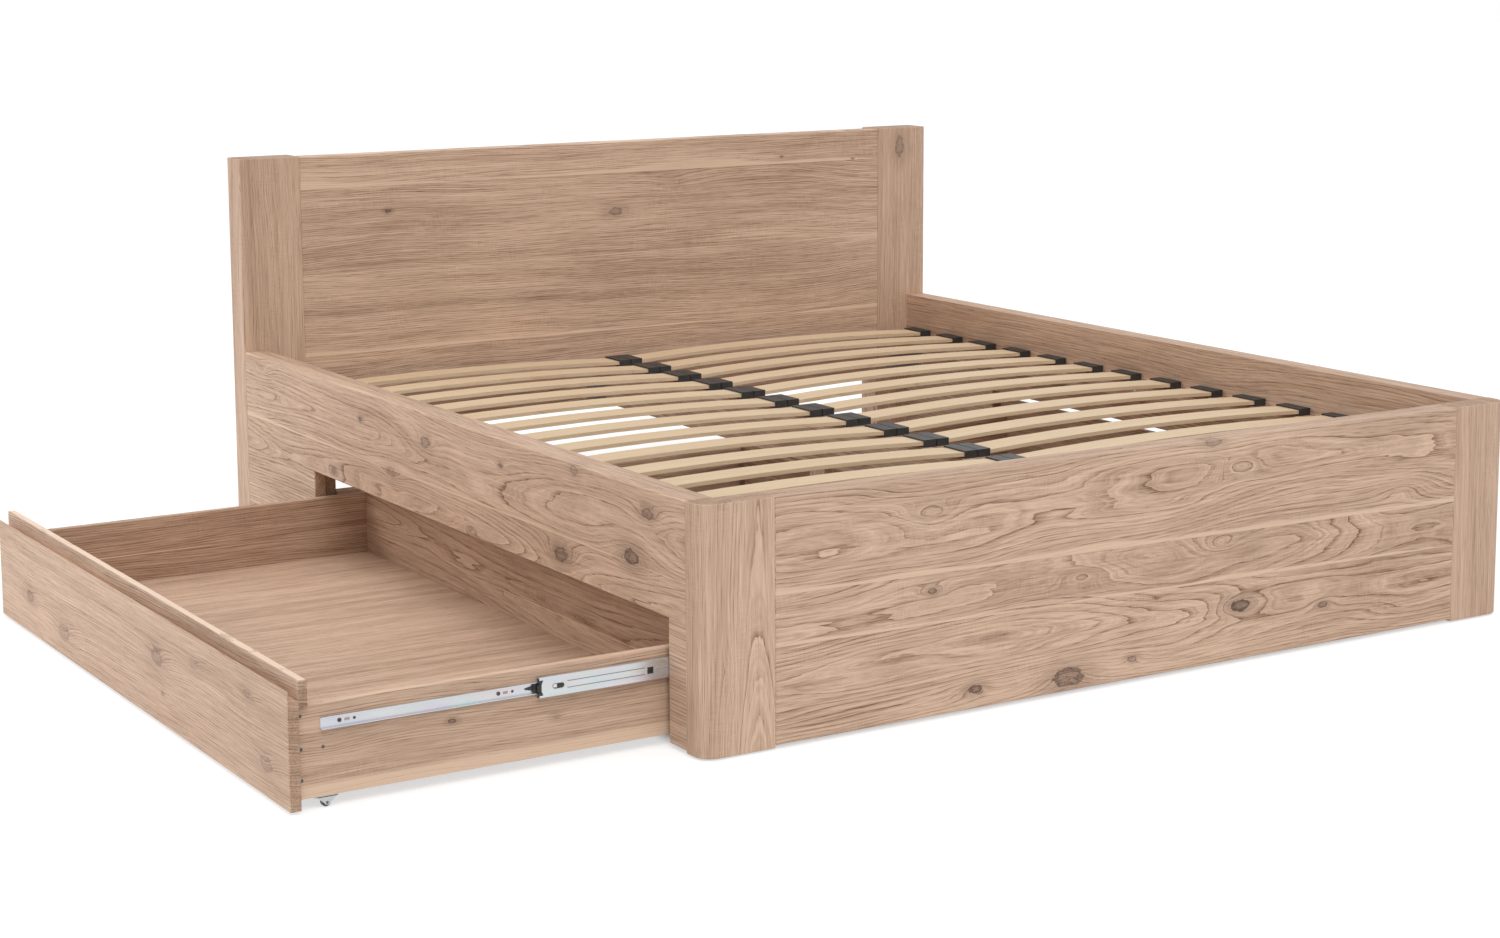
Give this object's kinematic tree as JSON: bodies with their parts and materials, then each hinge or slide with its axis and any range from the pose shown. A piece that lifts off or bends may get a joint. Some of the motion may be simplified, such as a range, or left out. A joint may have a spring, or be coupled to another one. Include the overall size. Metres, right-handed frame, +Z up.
{
  "type": "bed frame",
  "caption": "Wooden double bed frame with headboard, slatted base and long side drawers on ball-bearing slides and rollers.",
  "frame": {"origin": "on the floor under the centre leg, at the middle of the bed's plan", "axes": "+Z up, +Y towards the headboard, +X across the bed towards the shut drawer's side"},
  "size_m": [2.616, 2.13, 0.89],
  "materials": {
    "oak_board": "brushed and oiled light oak, horizontal grain",
    "oak_post": "brushed and oiled light oak, upright grain",
    "oak_drawer_box": "oiled light oak",
    "oak_drawer_panel": "oak veneer, fine straight grain",
    "oak_inner_frame": "plain planed oak",
    "birch_slat": "lacquered laminated birch",
    "black_plastic": "matte moulded",
    "grey_felt_plastic": "matte moulded",
    "zinc_steel": "bright zinc plated, satin",
    "ball_steel": "polished steel",
    "zinc_bracket": "zinc plated",
    "clear_plastic": "milky clear moulding",
    "white_wheel": "white nylon"
  },
  "bodies": {
    "frame": {"beam_hangers": "zinc_bracket", "bed_slats": "birch_slat", "centre_beam": "oak_inner_frame", "centre_leg": "oak_inner_frame", "corner_brackets": "zinc_bracket", "floor_glides": "grey_felt_plastic", "foot_liner": "oak_inner_frame", "foot_panel": "oak_board", "foot_post_left": "oak_post", "foot_post_right": "oak_post", "frame_bolts": "zinc_bracket", "head_post_left": "oak_post", "head_post_right": "oak_post", "headboard_panel": "oak_board", "rail_liner_left": "oak_inner_frame", "rail_liner_right": "oak_inner_frame", "runner_board_foot": "oak_inner_frame", "runner_board_head": "oak_inner_frame", "runner_cleats": "oak_inner_frame", "side_rail_left": "oak_board", "side_rail_right": "oak_board", "slat_holders": "black_plastic", "slat_ledge_left": "oak_inner_frame", "slat_ledge_right": "oak_inner_frame", "slide_cabinet_foot_left": "zinc_steel", "slide_cabinet_foot_right": "zinc_steel", "slide_cabinet_head_left": "zinc_steel", "slide_cabinet_head_right": "zinc_steel"},
    "drawer_left": {"drawer_back_left": "oak_drawer_box", "drawer_bottom_left": "oak_drawer_panel", "drawer_front_left": "oak_board", "drawer_inner_front_left": "oak_board", "drawer_side_foot_left": "oak_drawer_box", "drawer_side_head_left": "oak_drawer_box", "roller_forks_left": "clear_plastic", "slide_drawer_foot_left": "zinc_steel", "slide_drawer_head_left": "zinc_steel", "slide_levers_left": "black_plastic"},
    "drawer_right": {"drawer_back_right": "oak_drawer_box", "drawer_bottom_right": "oak_drawer_panel", "drawer_front_right": "oak_board", "drawer_inner_front_right": "oak_board", "drawer_side_foot_right": "oak_drawer_box", "drawer_side_head_right": "oak_drawer_box", "roller_forks_right": "clear_plastic", "slide_drawer_foot_right": "zinc_steel", "slide_drawer_head_right": "zinc_steel", "slide_levers_right": "black_plastic"},
    "inner_cages_left": {"inner_cages_left": "ball_steel"},
    "inner_cages_right": {"inner_cages_right": "ball_steel"},
    "outer_cages_left": {"outer_cages_left": "ball_steel"},
    "outer_cages_right": {"outer_cages_right": "ball_steel"},
    "wheels_left": {"roller_wheels_left": "white_wheel"},
    "wheels_right": {"roller_wheels_right": "white_wheel"},
    "slide_middle_left": {"slide_bumpers_left": "black_plastic", "slide_middle_foot_left": "zinc_steel", "slide_middle_head_left": "zinc_steel"},
    "slide_middle_right": {"slide_bumpers_right": "black_plastic", "slide_middle_foot_right": "zinc_steel", "slide_middle_head_right": "zinc_steel"}
  },
  "joints": [
    {"name": "drawer_left_slide", "type": "slide", "parent": "frame", "child": "drawer_left", "axis": [-1, 0, 0], "range_m": [-0.7, 0]},
    {"name": "slide_middle_left_slide", "type": "slide", "parent": "frame", "child": "slide_middle_left", "axis": [-1, 0, 0], "range_m": [-0.35, 0]},
    {"name": "outer_cages_left_slide", "type": "slide", "parent": "frame", "child": "outer_cages_left", "axis": [-1, 0, 0], "range_m": [-0.175, 0]},
    {"name": "inner_cages_left_slide", "type": "slide", "parent": "frame", "child": "inner_cages_left", "axis": [-1, 0, 0], "range_m": [-0.525, 0]},
    {"name": "wheels_left_roll", "type": "hinge", "parent": "drawer_left", "child": "wheels_left", "pos_m": [-1.589, 0, 0.008], "axis": [0, 1, 0], "continuous": true},
    {"name": "drawer_right_slide", "type": "slide", "parent": "frame", "child": "drawer_right", "axis": [1, 0, 0], "range_m": [0, 0.7]},
    {"name": "slide_middle_right_slide", "type": "slide", "parent": "frame", "child": "slide_middle_right", "axis": [1, 0, 0], "range_m": [0, 0.35]},
    {"name": "outer_cages_right_slide", "type": "slide", "parent": "frame", "child": "outer_cages_right", "axis": [1, 0, 0], "range_m": [0, 0.175]},
    {"name": "inner_cages_right_slide", "type": "slide", "parent": "frame", "child": "inner_cages_right", "axis": [1, 0, 0], "range_m": [0, 0.525]},
    {"name": "wheels_right_roll", "type": "hinge", "parent": "drawer_right", "child": "wheels_right", "pos_m": [0.889, 0, 0.008], "axis": [0, 1, 0], "continuous": true}
  ],
  "couplings": [
    {"joint": "slide_middle_left_slide", "follows": "drawer_left_slide", "ratio": 0.5},
    {"joint": "outer_cages_left_slide", "follows": "drawer_left_slide", "ratio": 0.25},
    {"joint": "inner_cages_left_slide", "follows": "drawer_left_slide", "ratio": 0.75},
    {"joint": "slide_middle_right_slide", "follows": "drawer_right_slide", "ratio": 0.5},
    {"joint": "outer_cages_right_slide", "follows": "drawer_right_slide", "ratio": 0.25},
    {"joint": "inner_cages_right_slide", "follows": "drawer_right_slide", "ratio": 0.75}
  ]
}
